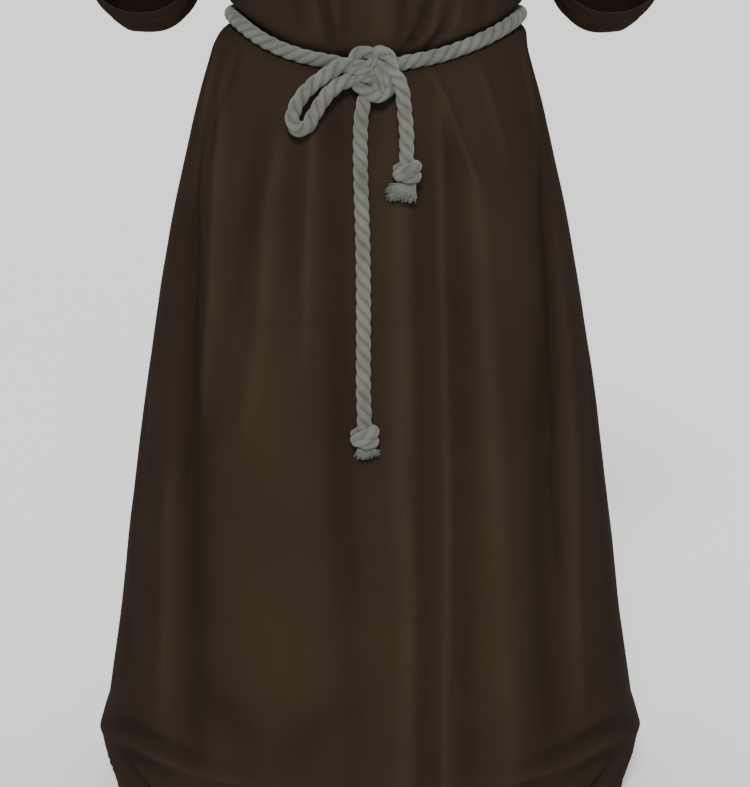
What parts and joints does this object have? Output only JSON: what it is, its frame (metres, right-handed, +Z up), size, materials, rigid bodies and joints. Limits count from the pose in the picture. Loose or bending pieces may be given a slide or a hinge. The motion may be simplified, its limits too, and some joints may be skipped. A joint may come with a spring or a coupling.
{
  "type": "monk robe",
  "caption": "Floor-length robe with wide bell sleeves, a plain round neck and side gores, worn hollow and girded with a knotted twisted rope.",
  "frame": {"origin": "middle of the neck opening, level with the shoulder points beside it, where the wearer's shoulders hold the robe up", "axes": "+Z up, -Y towards the front of the robe, +X towards the wearer's left"},
  "size_m": [0.7755, 0.6151, 1.48],
  "materials": {
    "robe_cloth": "matt fine twill, dark brown, faint soft sheen on the folds",
    "cotton_rope": "soft matt three-strand twisted cotton, grey-white"
  },
  "bodies": {
    "root": {"front_right": "robe_cloth", "front_left": "robe_cloth", "back": "robe_cloth", "gore_left": "robe_cloth", "gore_right": "robe_cloth", "sleeve_right": "robe_cloth", "sleeve_left": "robe_cloth", "rope_belt": "cotton_rope", "rope_knot": "cotton_rope", "rope_bow": "cotton_rope", "rope_short": "cotton_rope", "short_knot": "cotton_rope", "short_fray": "cotton_rope", "rope_long": "cotton_rope", "long_knot": "cotton_rope", "long_fray": "cotton_rope"}
  },
  "joints": []
}
